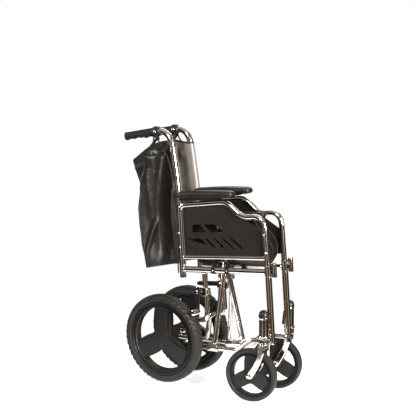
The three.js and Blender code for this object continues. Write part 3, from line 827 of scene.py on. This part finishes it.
FORK_LEG = ((-12, 200), (10, 202), (9, 178), (1, 152), (-14, 120), (-33, 88), (-40, 82),
            (-48, 82.5), (-55, 88), (-56.5, 96), (-52, 103), (-34, 130), (-19, 158), (-13, 179))


def make_caster(side, s):
    turned = Matrix.Translation((CASTER_X, s * CASTER_Y, 0)) @ \
        Matrix.Rotation(math.radians(CASTER_YAW[side]), 4, "Z")
    at_wheel = turned @ Matrix.Translation((-CASTER_TRAIL, 0, CASTER_R))
    frame_body, body, wheel_body = f"{side}_frame", f"{side}_caster", f"{side}_caster_wheel"
    y = s * CASTER_Y
    barrel = lathe(rounded([(8.6, 224), (19, 224), (19, 230), (16.5, 234), (16.5, 293),
                            (17.3, 296), (17.3, 300), (8.6, 300)]) + [(8.6, 224)],
                   (CASTER_X, y, 0), (0, 0, 1), 40)
    web = plate(round_corners(((410, 240), (431, 240), (431, 290), (416, 290)), 3), (),
                *sorted((s * 58, s * 79)), 2)
    bead = weld((CASTER_X, s * 66, 262), (0, 1, 0), 13)
    finished(side, "caster_barrel", joined(barrel, web, bead), frame_body, "chrome_tube")
    dome = [(0, 323.5), (5, 323.0), (10, 320.8), (14.4, 316.4), (17, 310), (17.7, 303.5),
            (17.7, 300.4), (0, 300.4)]
    cap = lathe(dome, (CASTER_X, y, 0), (0, 0, 1), 40)
    finished(side, "caster_cap", cap, frame_body, "black_plastic")
    legs = [plate(round_corners(FORK_LEG, 5, 4), (), side_y - 3.8, side_y + 3.8, 3.6)
            for side_y in (-21, 21)]
    bridge = plate(round_corners(((-12, 190), (10, 190), (10, 205), (-12, 205)), 4), (),
                   -24.4, 24.4, 3)
    stem = rod((0, 0, 206), (0, 0, 292), 7.8, 24)
    crown = lathe(rounded([(0, 203), (15, 203), (17, 206), (17, 212), (0, 212)]), (0, 0, 0),
                  (0, 0, 1), 36)
    fork = joined(*legs, bridge, stem, crown)
    finished(side, "caster_fork", moved(fork, turned), body, "chrome_tube")
    seal = lathe(rounded([(0, 212), (17.6, 212), (17.6, 218), (14.5, 223.2), (0, 223.2)]),
                 (0, 0, 0), (0, 0, 1), 36)
    piece(f"{side}_caster_dust_cap", moved(seal, turned), body, "chrome_tube",
          material="black_plastic")
    axle = joined(rod((0, -28, 0), (0, 28, 0), 5), screw((0, 25, 0), (0, 1, 0), 8.5, 4.5),
                  hex_head((0, -24.5, 0), (0, -1, 0), 8, 4.5),
                  rod((0, 17, 0), (0, 18.4, 0), 9), rod((0, -18.4, 0), (0, -17, 0), 9))
    finished(side, "caster_axle", moved(axle, at_wheel), body, "chrome_tube")
    profile = tyre_profile(CASTER_R, CASTER_RIM_R, CASTER_WIDTH, 6)
    tyre = lathe(profile + [profile[0]], (0, 0, 0), (0, 1, 0), 128)
    finished(side, "caster_tyre", moved(tyre, at_wheel), wheel_body, "tyre_rubber", sharp=50)
    wheel = spoked_wheel(CASTER_RIM_R, CASTER_WINDOW, 9.5, 15, 15.5, False)
    finished(side, "caster_rim", moved(wheel, at_wheel), wheel_body, "wheel_plastic", sharp=32)


# ---- scissor brace -----------------------------------------------------------------
FOLD = TO_ROW @ Matrix.Translation((0, 0, BASE_Z0)) @ \
    Matrix.Rotation(-math.atan(BASE_SLOPE), 4, "Y")
BRACES = {
    "a": {"foot": 192, "cross": 219, "top": 243, "side": -1, "sleeve": (168, 214)},
    "b": {"foot": 262, "cross": 243, "top": 226, "side": 1, "sleeve": (190, 270)},
}
BRACE_R = 9.5
RAIL_ENDS = (114, 375)


def make_brace(key, foot, cross, top, side, sleeve):
    base, upper = side * BASE_Y, -side * SEAT_RAIL_Y
    down, middle = Vector((foot, base, 0)), Vector((cross, 0, CROSS_HEIGHT))
    up = Vector((top, upper, SEAT_RAIL_HEIGHT))
    low, high = sleeve
    cuff = [(10.3, 0), (13.2, 0), (14, 0.8), (14, high - low - 0.8), (13.2, high - low),
            (10.3, high - low), (10.3, 0)]
    rear, front = (Vector((x, upper, SEAT_RAIL_HEIGHT)) for x in RAIL_ENDS)
    rail = rod(rear, front, SEAT_RAIL_R, 24)
    parts = [sweep([down, middle], BRACE_R, 24), sweep([middle, up], BRACE_R, 24), rail,
             lathe(cuff, (low, base, 0), (1, 0, 0), 32),
             weld(down.lerp(middle, 0.062), middle - down, BRACE_R),
             weld(up.lerp(middle, 0.045), middle - up, BRACE_R)]
    if key == "b":
        meet = down.lerp(middle, 0.84)
        foot_at = Vector((202, BASE_Y, 0))
        parts += [sweep([foot_at, meet], 7, 20), weld(foot_at.lerp(meet, 0.07), meet - foot_at, 7)]
    piece(f"cross_brace_{key}_finished", joined(*parts), f"brace_{key}", "chrome_tube",
          [f"cross_brace_{key}"], to_row=FOLD)
    inside, outside = Vector((0.5, 0, 0)), Vector((4, 0, 0))
    plugs = joined(rod(front - inside, front + outside, SEAT_RAIL_R + 0.3, 24, 1.4),
                   rod(rear + inside, rear - outside, SEAT_RAIL_R + 0.3, 24, 1.4))
    piece(f"seat_rail_plugs_{key}", plugs, f"brace_{key}", "black_plastic", to_row=FOLD)


def make_cross_bolt():
    z = CROSS_HEIGHT
    shape = joined(rod((204, 0, z), (258, 0, z), 5), hex_head((256.5, 0, z), (1, 0, 0), 9, 5.5),
                   hex_head((205.5, 0, z), (-1, 0, 0), 9, 6),
                   rod((228.6, 0, z), (233.4, 0, z), 11, 28))
    piece("cross_bolt_finished", shape, "brace_a", "chrome_tube", ["cross_bolt"],
          material="bolt_steel", to_row=FOLD)


# ---- sling upholstery ------------------------------------------------------------------
CLOTH = 1.6


def along_line(knots, at):
    """The value at a position on a list of (position, value), straight between knots."""
    if at <= knots[0][0]:
        return knots[0][1]
    for (p0, v0), (p1, v1) in zip(knots, knots[1:]):
        if at <= p1:
            return v0 + (v1 - v0) * (at - p0) / (p1 - p0)
    return knots[-1][1]


def step(low, high, value):
    """0 below low, 1 above high, and smooth between."""
    t = min(1, max(0, (value - low) / (high - low)))
    return t * t * (3 - 2 * t)


def bell(value, middle, spread):
    """1 at the middle, falling smoothly to 0 on both sides."""
    return math.exp(-((value - middle) / spread) ** 2)


def cloth_sheet(grid, thick=CLOTH):
    """A closed thin sheet from a grid of points, with both faces and its edges."""
    rows, cols = len(grid), len(grid[0])
    normals = []
    for i in range(rows):
        line = []
        for j in range(cols):
            a = grid[min(i + 1, rows - 1)][j] - grid[max(i - 1, 0)][j]
            b = grid[i][min(j + 1, cols - 1)] - grid[i][max(j - 1, 0)]
            line.append(a.cross(b).normalized())
        normals.append(line)
    points, faces = [], []
    for sign in (1, -1):
        for i in range(rows):
            for j in range(cols):
                points.append(grid[i][j] + normals[i][j] * (sign * thick / 2))
    half = rows * cols

    def at(i, j, layer):
        return layer * half + i * cols + j

    for i in range(rows - 1):
        for j in range(cols - 1):
            faces.append((at(i, j, 0), at(i + 1, j, 0), at(i + 1, j + 1, 0), at(i, j + 1, 0)))
            faces.append((at(i, j, 1), at(i, j + 1, 1), at(i + 1, j + 1, 1), at(i + 1, j, 1)))
    rim = [(0, j) for j in range(cols)] + [(i, cols - 1) for i in range(1, rows)]
    rim += [(rows - 1, j) for j in range(cols - 2, -1, -1)] + [(i, 0) for i in range(rows - 2, 0, -1)]
    for (a, b), (c, d) in zip(rim, rim[1:] + rim[:1]):
        faces.append((at(a, b, 0), at(c, d, 0), at(c, d, 1), at(a, b, 1)))
    return points, faces


def hems_of(grid):
    return joined(*[sweep(row, 1.7, 8, 0.3) for row in (grid[0], grid[-1])])


def stitch_row(path, pitch=7, length=4.2, radius=0.5):
    """Short raised stitches along a line of points."""
    shapes = []
    carried = 0.0
    for a, b in zip(path, path[1:]):
        span = (b - a).length
        if span < 1e-6:
            continue
        run = (b - a) / span
        at = -carried
        while at + pitch < span:
            at += pitch
            if at > 0:
                start = a + run * at
                shapes.append(rod(start, start + run * length, radius, 5, 0.15))
        carried = (span - at) if at > 0 else carried + span
        carried = min(carried, pitch)
    return joined(*shapes)


# The back halves are drawn by two distances: d, rearwards from the cane, and up, along it.
LEAN = math.atan2(40, 463)
UP = Vector((-math.sin(LEAN), 0, math.cos(LEAN)))
BACK = Vector((-math.cos(LEAN), 0, -math.sin(LEAN)))
BACK_ANGLE = 13
BACK_FOOT = Vector((70, 0, 395))
SLEEVE_R = CANE_R + 1.2
REAR_EDGE = ((0, 194), (18, 194), (61, 200), (104, 219), (170, 224), (237, 225), (304, 206),
             (359, 222), (414, 236), (480, 236))
TOP_EDGE = ((0, 468), (34, 474), (58, 480), (110, 476), (149, 468), (183, 449), (236, 414))
BOTTOM_EDGE = ((0, 44), (79, 36), (194, 18), (230, 14))
SLEEVE_ANGLES = (-25, -5, 15, 35, 55, 75)
TYPICAL_REACH = 225
# Where folds run: (up, d) along the near half's main ridge, its lower crease and the line
# where its rear corner turns over, and along the far half's crease.
RIDGE = ((60, 84), (114, 89), (196, 98), (260, 95), (305, 86), (357, 72), (434, 46), (480, 40))
CREASE = ((83, 174), (194, 129))
CORNER_BEND = ((300, 206), (435, 153))
FAR_CREASE = ((60, 176), (230, 132))


def near_folds(d, up):
    """How far the right half's cloth stands out of its plane, positive outwards."""
    # The main ridge, the deep trough in front of it and the shallow one behind.
    ridge = along_line(RIDGE, up)
    live = step(30, 130, up)
    out = 15 * bell(d, ridge, 9) * live
    out -= 24 * bell(d, ridge - 24, 12) * live * (1 - 0.4 * step(350, 425, up))
    out -= 7 * bell(d, ridge + 30, 18) * live
    # The raised flap beside the cane.
    flap = step(48, 52, up) * (1 - step(308, 312, up))
    out += 4.5 * flap * step(6, 11, d) * (1 - step(61, 65, d))
    # The slanting crease low down, and the bottom edge swinging out.
    crease = along_line(CREASE, up)
    if up < 215:
        out += 8 * bell(d, crease, 7) * (1 - step(165, 215, up))
        out -= 7 * bell(d, crease + 16, 9) * (1 - step(165, 215, up))
        out += 16 * (1 - step(20, 140, up)) * step(60, 110, d) * (1 - 0.4 * step(190, 220, d))
    # The hollow in the rear half, with one soft fold across it.
    out -= 9 * math.sin(math.pi * step(95, 225, d)) * step(120, 220, up) * (1 - step(380, 430, up))
    out += 6 * bell(d, 150 + 0.12 * up, 9) * step(150, 230, up) * (1 - step(330, 400, up))
    # The rear corner turned over at the top, and the pinch under the top edge.
    bend = along_line(CORNER_BEND, up)
    if up > 290:
        out -= 0.75 * max(0, d - bend - 3) * step(290, 330, up)
        out += 5 * bell(d, bend, 6) * step(290, 340, up)
    out -= 11 * bell(up, 436, 5.5) * step(30, 60, d) * (1 - step(175, 215, d))
    if up > 436:
        out -= 0.95 * (up - 436) * step(20, 70, d)
    return out


def far_folds(d, up):
    """The left half's cloth, which shows its inner face; positive is outwards."""
    # A knob near the top, the full bulge beside the cane and the trough behind it.
    out = 9 * bell(d, 58, 12) * bell(up, 424, 22)
    out += 9 * math.sin(math.pi * step(6, 95, d)) * step(60, 140, up)
    out -= 7 * bell(d, 88, 10) * step(120, 220, up) * (1 - step(380, 450, up))
    # A soft ridge further back, the pull under the top edge, a crease and the bottom edge.
    out += 6 * bell(d, 130, 22) * step(80, 200, up)
    out -= 5 * bell(up, 440 - 0.25 * d, 8) * step(10, 40, d)
    crease = along_line(FAR_CREASE, up)
    out -= 6 * bell(d, crease, 9) * (1 - step(190, 240, up))
    out += 9 * (1 - step(20, 130, up)) * step(60, 120, d)
    return out


def back_point(s, d, up, folds):
    """A point of one back half: d away from its cane, up along it."""
    turn = math.radians(BACK_ANGLE)
    away = BACK * math.cos(turn) + Vector((0, -s * math.sin(turn), 0))
    normal = Vector((0, s * math.cos(turn), 0)) + BACK * math.sin(turn)
    inner = Vector((0, -s, 0)) * SLEEVE_R * (1 - step(0, 170, d))
    ripple = noise.noise(Vector((d * 0.012, up * 0.006, 3.0 + s))) * 3.5 * step(10, 60, d)
    out = folds(d, up) * step(4, 30, d) + ripple
    point = BACK_FOOT + Vector((0, s * FRAME_Y, 0)) + UP * up + away * d + inner + normal * out
    bowed = cane_x(min(point.z, 870)) - (BACK_FOOT.x - (point.z - 395) * math.tan(LEAN))
    point.x += bowed * (1 - step(20, 150, d))
    return point


def back_grid(s, folds, rows=74, cols=58):
    """From the front of the cane, round its inner side, then rearwards to the fold."""
    grid = []
    low_end, high_end = BOTTOM_EDGE[0][1], TOP_EDGE[0][1]
    for i in range(rows):
        v = i / (rows - 1)
        line = []
        z = BACK_FOOT.z + (low_end + (high_end - low_end) * v) * UP.z
        centre = Vector((cane_x(z), s * FRAME_Y, z))
        for angle in SLEEVE_ANGLES:
            turn = math.radians(angle)
            reach = Vector((math.cos(turn), -s * math.sin(turn), 0)) * SLEEVE_R
            line.append(centre + reach)
        for j in range(cols):
            u = (j + 0.6) / (cols - 0.4)
            d = u * TYPICAL_REACH
            for _ in range(3):
                low, high = along_line(BOTTOM_EDGE, d), along_line(TOP_EDGE, d)
                up = low + (high - low) * v
                d = u * along_line(REAR_EDGE, up)
            line.append(back_point(s, d, up, folds))
        grid.append(line)
    return grid


def painted_sheen_facing(grid, inward):
    """A thin, lighter facing laid on the front half of a sheet, a painted sheen: a lit copy of the
    sling vinyl that stands in for light on the cloth; inward is which side of it.
    """
    wide = len(grid[0]) // 2
    facing = []
    for i, row in enumerate(grid):
        line = []
        for j, point in enumerate(row):
            down = grid[min(i + 1, len(grid) - 1)][j] - grid[max(i - 1, 0)][j]
            across = row[min(j + 1, len(row) - 1)] - row[max(j - 1, 0)]
            normal = down.cross(across).normalized()
            line.append(point + normal * (inward * (CLOTH / 2 + 0.25)))
        facing.append(line)
    return cloth_sheet([row[1:wide] for row in facing[1:-1]], 0.4)


def make_back(side, s, folds):
    grid = back_grid(s, folds)
    body = f"{side}_back"
    sheet = piece(f"{side}_back_sling_finished", cloth_sheet(grid), body, "sling_vinyl",
                  [f"{side}_back_sling"], sharp=60)
    lifted = []
    for row in (grid[2], grid[-3], [row[9] for row in grid]):
        for face in (1, -1):
            shift = Vector((0, face * (CLOTH / 2 + 0.5), 0))
            lifted.append(stitch_row([p + shift for p in row]))
    extras = [
        # The lighter facing paints a sheen onto the front half of the sling.
        piece(f"{side}_back_painted_sheen", painted_sheen_facing(grid, s), body, "sling_vinyl",
              material="painted_sheen", sharp=60),
        piece(f"{side}_back_hems", hems_of(grid), body, "sling_vinyl"),
        piece(f"{side}_back_stitches", joined(*lifted), body, "sling_vinyl", material="thread"),
    ]


SEAT_DEPTH = 176
SEAT_REST = 2.0
SEAT_CURL = 20.0
SEAT_ENDS = (116, 373)
SEAT_WRAP_R = 10.2
WRAP_ANGLES = (200, 160, 120, 80, 40, 10)
# Where the brace crowds the cloth: its middle along the rail, and its spread.
BRACE_ZONE = (231, 34)
# How far the cloth's front hangs forward of the rail, and how much its tip tucks back.
APRON_REACH = 64
APRON_TUCK = 22
APRON_RUN = 259
LEAST_Y = 1.2


def seat_line(s, a, bottom):
    """Down from the rail, hanging inside it and curling to the middle fold."""
    points = []
    for angle in WRAP_ANGLES:
        turn = math.radians(angle)
        points.append(Vector((a, s * SEAT_RAIL_Y + s * math.cos(turn) * -SEAT_WRAP_R,
                              SEAT_RAIL_HEIGHT + math.sin(turn) * SEAT_WRAP_R)))
    y, z = s * SEAT_RAIL_Y - s * SEAT_WRAP_R, float(SEAT_RAIL_HEIGHT)
    count = 30
    pitch = bottom / count
    crowd = bell(a, *BRACE_ZONE)
    for k in range(1, count + 1):
        share = k / count
        angle = math.radians(SEAT_REST + SEAT_CURL * share * share)
        y -= s * pitch * math.sin(angle)
        z -= pitch * math.cos(angle)
        shift = min(7.0 * crowd, max(0, abs(y) - 1.5))
        wave = 1.4 * math.sin(a * 0.045 + 2 * s) * share * (1 - share) * 3
        point_y = y - s * shift + wave
        if point_y * s < LEAST_Y:
            point_y = s * LEAST_Y
        forward = max(0, 1 - (RAIL_ENDS[1] - a) / APRON_RUN) ** 3
        apron = APRON_REACH * step(0, 0.6, share) - APRON_TUCK * step(0.7, 1, share)
        points.append(Vector((a + apron * forward, point_y, z)))
    return points


def make_seat(side, s):
    ends = SEAT_ENDS
    count = 56
    grid = []
    for k in range(count):
        a = ends[0] + (ends[1] - ends[0]) * k / (count - 1)
        grid.append(seat_line(s, a, SEAT_DEPTH - 10 * bell(a, *BRACE_ZONE)))
    body = f"{side}_seat"
    sheet = piece(f"{side}_seat_sling_finished", cloth_sheet(grid), body, "sling_vinyl",
                  [f"{side}_seat_front", f"{side}_seat_rear"], sharp=60, to_row=FOLD)
    hem = piece(f"{side}_seat_hems", hems_of(grid), body, "sling_vinyl", to_row=FOLD)
    rows = [[p + Vector((0, s * 1.0, 0)) for p in grid[k][6:]] for k in (2, -3)]
    rows += [[p - Vector((0, s * 1.0, 0)) for p in grid[k][6:]] for k in (2, -3)]
    rows += [[row[9] + Vector((0, f * 1.0, 0)) for row in grid] for f in (1, -1)]
    stitches = joined(*[stitch_row(row) for row in rows])
    thread = piece(f"{side}_seat_stitches", stitches, body, "sling_vinyl", material="thread",
                   to_row=FOLD)


# ---- the whole chair ------------------------------------------------------------------
for side, s in SIDES:
    make_side_tubes(side, s)
    make_panel(side, s)
    make_arm_pad(side, s)
    make_footrest_socket(side, s)
    make_handle(side, s)
    make_parking_brake(side, s)
    make_rear_wheel(side, s)
    make_caster(side, s)
    make_back(side, s, near_folds if s < 0 else far_folds)
    make_seat(side, s)
for key, shape in BRACES.items():
    make_brace(key, **shape)
make_cross_bolt()


# ---- studio ------------------------------------------------------------------------------
FOCAL_PIXELS = 1036.5
FRAME_PIXELS = 416
SENSOR = 36
AZIMUTH = 34.627
ELEVATION = 8.797
ROLL = -0.469
CAMERA_AT = Vector((2.19828, -2.97799, 1.19678))
FLOOR_RADIUS = 0.6
FLOOR_GLOW = 0.62
ROOM_STRENGTH = 0.68
VIEW_GAMMA = 0.84
# Name, place, aim, size, watts; in metres.
LIGHTS = (
    ("key", (0.2, -2.9, 2.4), (0, 0, 0.5), (1.0, 0.7), 40),
    ("front", (2.7, -0.8, 1.3), (0, 0, 0.6), (0.6, 1.2), 195),
    ("rake", (-2.6, -1.5, 1.2), (0, 0, 0.6), (0.35, 1.5), 40),
    ("back_rim", (-1.0, 2.4, 2.4), (0, 0, 0.6), (2.0, 0.8), 25),
)


def make_camera():
    azimuth, elevation, roll = (math.radians(x) for x in (AZIMUTH, ELEVATION, ROLL))
    back = Vector((math.sin(azimuth) * math.cos(elevation),
                   -math.cos(azimuth) * math.cos(elevation), math.sin(elevation)))
    right = Vector((math.cos(azimuth), math.sin(azimuth), 0))
    up = back.cross(right)
    turned_right = right * math.cos(roll) + up * math.sin(roll)
    turned_up = up * math.cos(roll) - right * math.sin(roll)
    data = bpy.data.cameras.new("camera")
    data.sensor_width = SENSOR
    data.lens = SENSOR * FOCAL_PIXELS / FRAME_PIXELS
    camera = bpy.data.objects.new("camera", data)
    turn = Matrix((turned_right, turned_up, back)).transposed().to_4x4()
    camera.matrix_world = Matrix.Translation(CAMERA_AT + ORIGIN) @ turn
    bpy.context.scene.collection.objects.link(camera)
    bpy.context.scene.camera = camera


def make_floor():
    """A round pale floor that glows a little, so that it fades into the white behind it."""
    rim = [(FLOOR_RADIUS * math.cos(a), FLOOR_RADIUS * math.sin(a), 0)
           for a in (2 * math.pi * k / 96 for k in range(96))]
    mesh = bpy.data.meshes.new("floor")
    mesh.from_pydata(rim, [], [tuple(range(96))])
    floor = bpy.data.objects.new("floor", mesh)
    material = surface("pale_floor", (0.85, 0.85, 0.85), 0.8, 0.01)
    shader = material.node_tree.nodes["Principled BSDF"]
    shader.inputs["Emission Color"].default_value = (1, 1, 1, 1)
    shader.inputs["Emission Strength"].default_value = FLOOR_GLOW
    floor.data.materials.append(material)
    bpy.context.scene.collection.objects.link(floor)


def add_light(name, at, aim, size, watts):
    data = bpy.data.lights.new(name, "AREA")
    data.shape = "RECTANGLE"
    data.size, data.size_y = size
    data.energy = watts
    light = bpy.data.objects.new(name, data)
    light.location = at
    light.rotation_euler = (Vector(at) - Vector(aim)).to_track_quat("Z", "Y").to_euler()
    bpy.context.scene.collection.objects.link(light)


WHITE = (1.15, 1.10, 1.06)
PALE = (0.56, 0.50, 0.46)
DIM = (0.20, 0.17, 0.15)
DARK = (0.03, 0.025, 0.02)
OCHRE = (0.42, 0.21, 0.06)
ROUND_BANDS = ((0.00, DIM), (0.05, PALE), (0.08, DARK), (0.18, DARK), (0.20, PALE), (0.235, WHITE),
               (0.25, PALE), (0.29, DIM), (0.305, DARK), (0.335, OCHRE), (0.365, OCHRE),
               (0.385, DARK), (0.43, DARK), (0.45, WHITE), (0.475, PALE), (0.52, DIM),
               (0.54, DARK), (0.65, DARK), (0.67, PALE), (0.70, DIM), (0.74, DARK), (1.00, DIM))
HEIGHT_BANDS = ((0.00, PALE), (0.22, PALE), (0.30, DIM), (0.36, DARK), (0.60, DARK), (0.65, PALE),
                (0.74, WHITE), (0.80, DIM), (0.86, PALE), (1.00, WHITE))


def banded(tree, value, bands):
    """A colour ramp over bands, from a value between 0 and 1."""
    ramp = tree.nodes.new("ShaderNodeValToRGB")
    marks = ramp.color_ramp.elements
    marks[1].position = 1.0
    for position, _ in bands[1:-1]:
        marks.new(position)
    for mark, (_, color) in zip(marks, bands):
        mark.color = (*color, 1)
    tree.links.new(value, ramp.inputs["Fac"])
    return ramp.outputs["Color"]


def remapped(tree, value, low, high):
    scale = add_node(tree, "ShaderNodeMapRange", **{"From Min": low, "From Max": high})
    tree.links.new(value, scale.inputs["Value"])
    return scale.outputs["Result"]


def make_world():
    """White to the camera; for reflections a room of pale and dark bands."""
    world = bpy.data.worlds.new("studio")
    world.use_nodes = True
    bpy.context.scene.world = world
    tree = world.node_tree
    room = tree.nodes["Background"]
    split = tree.nodes.new("ShaderNodeSeparateXYZ")
    tree.links.new(tree.nodes.new("ShaderNodeTexCoord").outputs["Generated"], split.inputs[0])
    turn = tree.nodes.new("ShaderNodeMath")
    turn.operation = "ARCTAN2"
    tree.links.new(split.outputs["Y"], turn.inputs[0])
    tree.links.new(split.outputs["X"], turn.inputs[1])
    level = tree.nodes.new("ShaderNodeMath")
    level.operation = "ABSOLUTE"
    tree.links.new(split.outputs["Z"], level.inputs[0])
    mix = tree.nodes.new("ShaderNodeMix")
    mix.data_type = "RGBA"
    colors = [socket for socket in mix.inputs if socket.type == "RGBA"]
    around = banded(tree, remapped(tree, turn.outputs[0], -math.pi, math.pi), ROUND_BANDS)
    upward = banded(tree, remapped(tree, split.outputs["Z"], -1, 1), HEIGHT_BANDS)
    tree.links.new(remapped(tree, level.outputs[0], 0.2, 0.4), mix.inputs[0])
    tree.links.new(around, colors[0])
    tree.links.new(upward, colors[1])
    mixed = [socket for socket in mix.outputs if socket.type == "RGBA"][0]
    tree.links.new(mixed, room.inputs["Color"])
    room.inputs["Strength"].default_value = ROOM_STRENGTH
    white = add_node(tree, "ShaderNodeBackground", Color=(1, 1, 1, 1), Strength=1.0)
    seen = tree.nodes.new("ShaderNodeLightPath")
    blend = tree.nodes.new("ShaderNodeMixShader")
    tree.links.new(seen.outputs["Is Camera Ray"], blend.inputs["Fac"])
    tree.links.new(room.outputs[0], blend.inputs[1])
    tree.links.new(white.outputs[0], blend.inputs[2])
    tree.links.new(blend.outputs[0], tree.nodes["World Output"].inputs["Surface"])


make_camera()
make_floor()
make_world()
for light in LIGHTS:
    add_light(*light)
bpy.context.scene.view_settings.view_transform = "Standard"
bpy.context.scene.view_settings.gamma = VIEW_GAMMA
